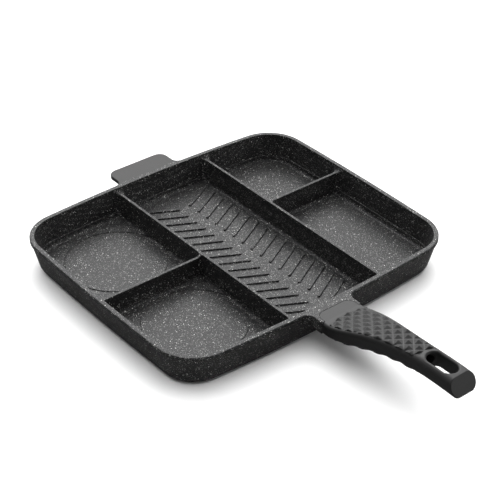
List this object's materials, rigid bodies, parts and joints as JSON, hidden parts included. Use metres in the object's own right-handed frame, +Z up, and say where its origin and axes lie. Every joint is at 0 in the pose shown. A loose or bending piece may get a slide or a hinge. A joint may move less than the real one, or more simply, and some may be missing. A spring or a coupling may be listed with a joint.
{
  "type": "divided frying pan",
  "caption": "Large divided frying pan with grill ribs in the middle section, a helper tab and a textured grip with a hanging slot.",
  "frame": {"origin": "centre of the base, on the surface that the pan stands on", "axes": "+Z up out of the pan, +Y from the centre towards the helper tab, so the grip points to -Y, +X along the long side"},
  "size_m": [0.38, 0.5469, 0.0679],
  "materials": {
    "cast_coated": "cast aluminium under a dark speckled non-stick coating",
    "grip": "moulded heat-proof plastic with a satin soft-touch surface",
    "steel_plate": "turned and pressed stainless steel",
    "steel_fastener": "zinc-plated steel"
  },
  "bodies": {
    "root": {"pan_body": "cast_coated", "base_plate": "steel_plate", "handle_grip": "grip", "handle_screw": "steel_fastener", "flat_washer": "steel_fastener", "spring_washer": "steel_fastener", "threaded_insert": "steel_fastener"}
  },
  "joints": []
}
